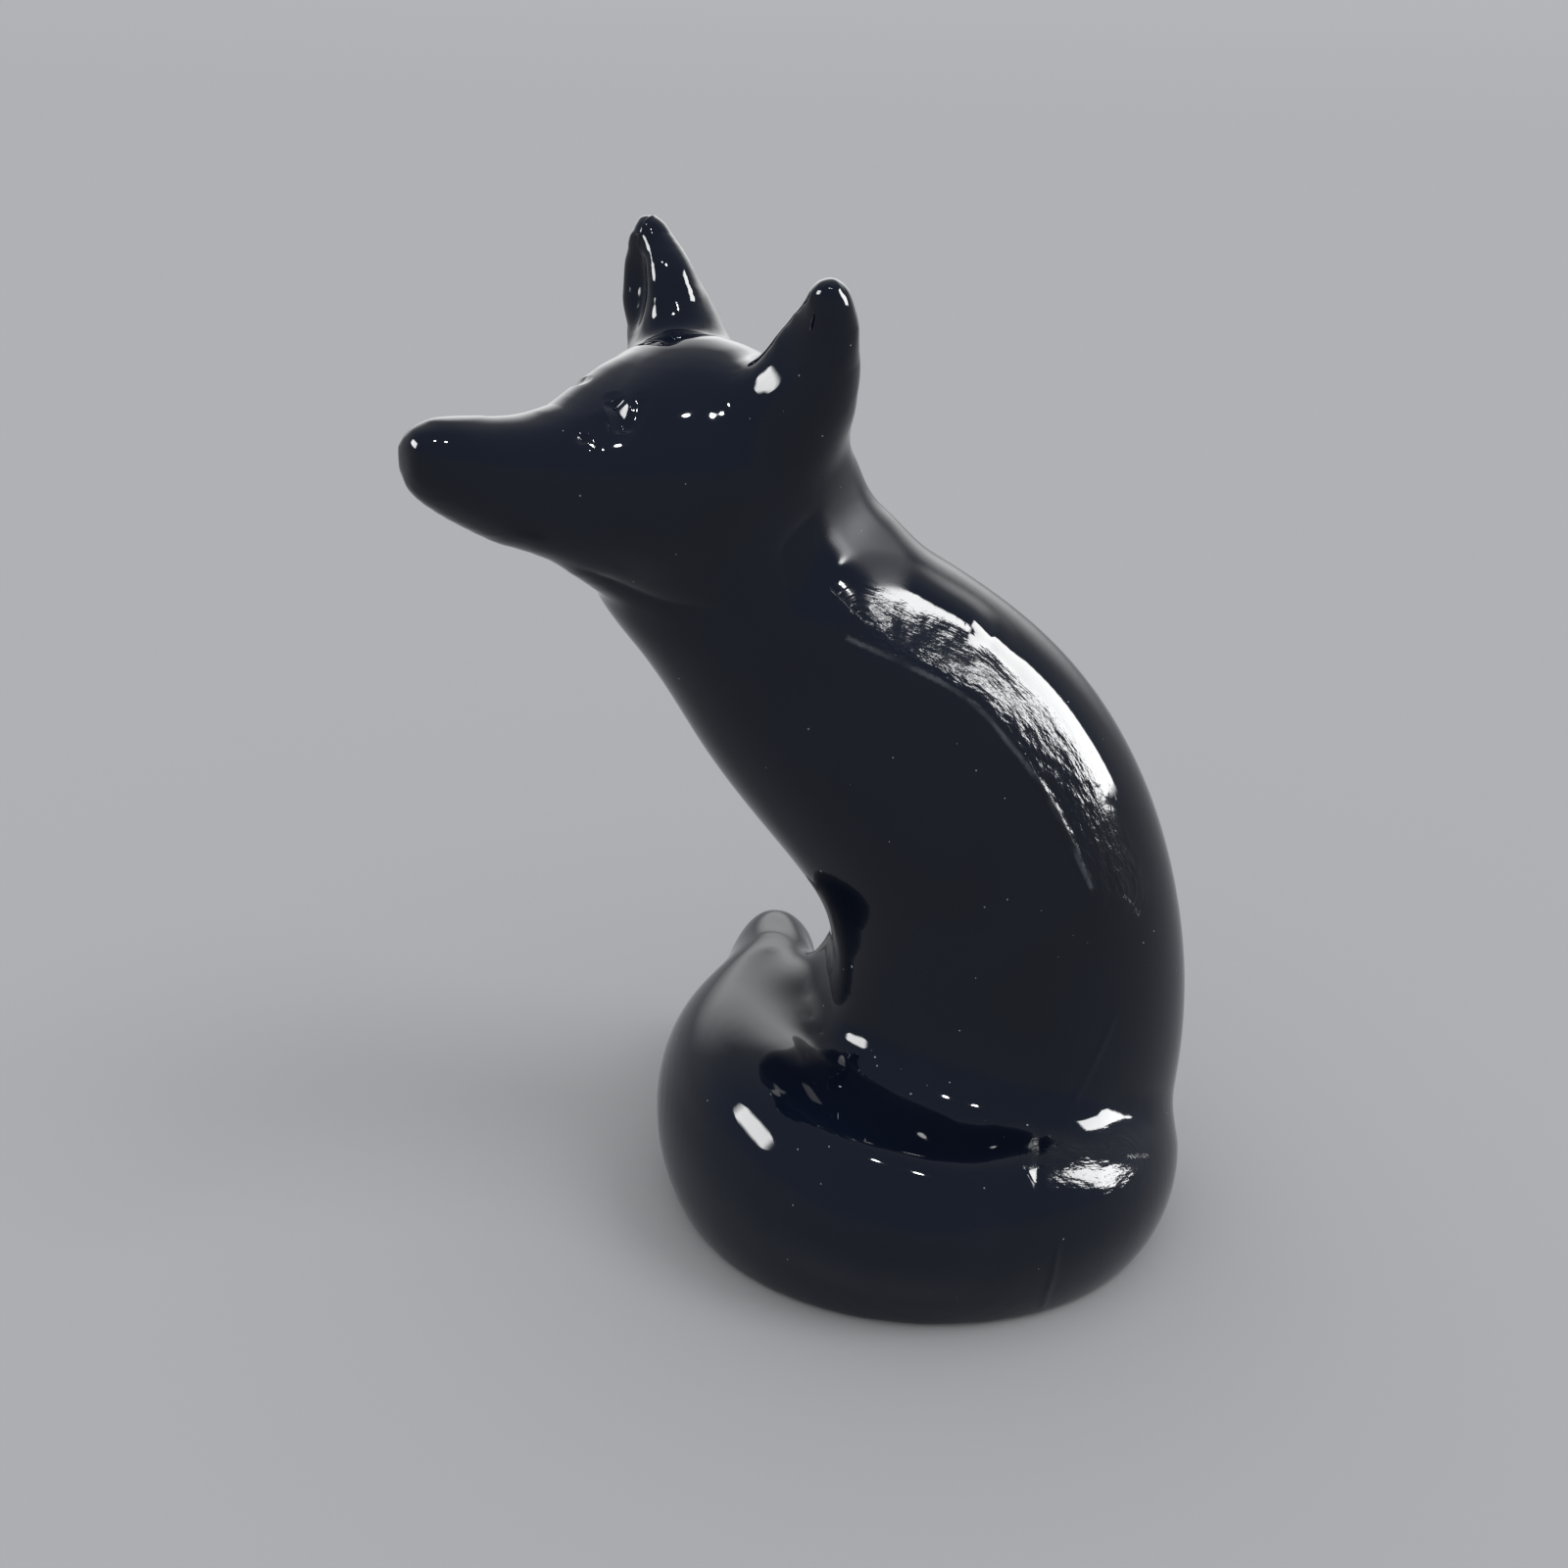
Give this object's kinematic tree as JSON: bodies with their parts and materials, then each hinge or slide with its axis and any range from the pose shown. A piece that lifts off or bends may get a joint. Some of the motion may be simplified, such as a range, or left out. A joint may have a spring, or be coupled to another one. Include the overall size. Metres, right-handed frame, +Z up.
{
  "type": "fox figurine",
  "caption": "Seated fox figurine of solid black pressed glass: body leaning forward, head turned to its left, pricked hollow ears, thick tail wrapped round a flat base.",
  "frame": {"origin": "middle of the flat ground base, on the resting plane", "axes": "+Z up, the body faces -Y, the fox's left side and the pictured side are +X"},
  "size_m": [0.0624, 0.0885, 0.1138],
  "materials": {
    "black_glass": "opaque black pressed glass, fire polished to a gloss, with a faint navy depth; the base is ground flat"
  },
  "bodies": {
    "root": {"torso": "black_glass", "head": "black_glass", "left_ear": "black_glass", "right_ear": "black_glass", "left_foreleg": "black_glass", "right_foreleg": "black_glass", "left_haunch": "black_glass", "right_haunch": "black_glass", "right_hind_paw": "black_glass", "tail": "black_glass"}
  },
  "joints": []
}
